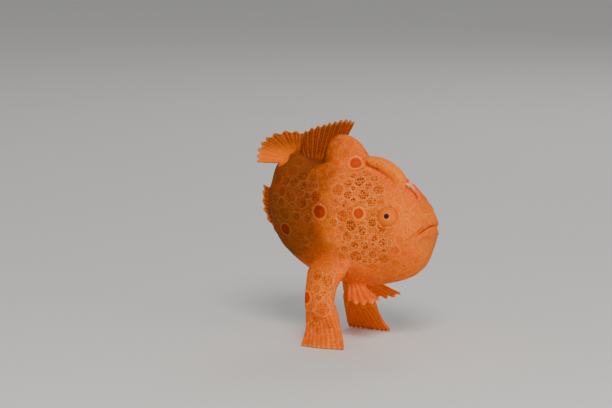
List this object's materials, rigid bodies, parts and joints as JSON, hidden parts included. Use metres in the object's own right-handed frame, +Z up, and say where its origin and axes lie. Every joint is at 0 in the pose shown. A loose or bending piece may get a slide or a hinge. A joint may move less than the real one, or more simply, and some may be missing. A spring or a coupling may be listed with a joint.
{
  "type": "frogfish",
  "caption": "Life-size still model of a small orange frogfish standing on its two leg-like pectoral fins, tail raised, head tipped down.",
  "frame": {"origin": "middle of the underside of the whole fish's box, on the floor that its two feet stand on", "axes": "+Z up, the fish faces +X, its right side is towards -Y"},
  "size_m": [0.039, 0.0272, 0.0479],
  "materials": {
    "skin": "satin",
    "fin": "satin",
    "fin_red": "satin",
    "eye": "polished",
    "lure": "matte"
  },
  "bodies": {
    "root": {"head": "skin", "lower_jaw": "skin", "trunk": "skin", "tail": "skin", "dorsal_fin": "fin_red", "anal_fin": "fin", "caudal_fin": "fin", "dorsal_spine_3": "skin", "dorsal_spine_2": "skin", "illicium": "lure", "pectoral_arm_right": "skin", "pectoral_arm_left": "skin", "pectoral_fin_right": "fin", "pectoral_fin_left": "fin", "pelvic_fin_right": "fin", "pelvic_fin_left": "fin", "eye_right": "eye", "eye_left": "eye"}
  },
  "joints": []
}
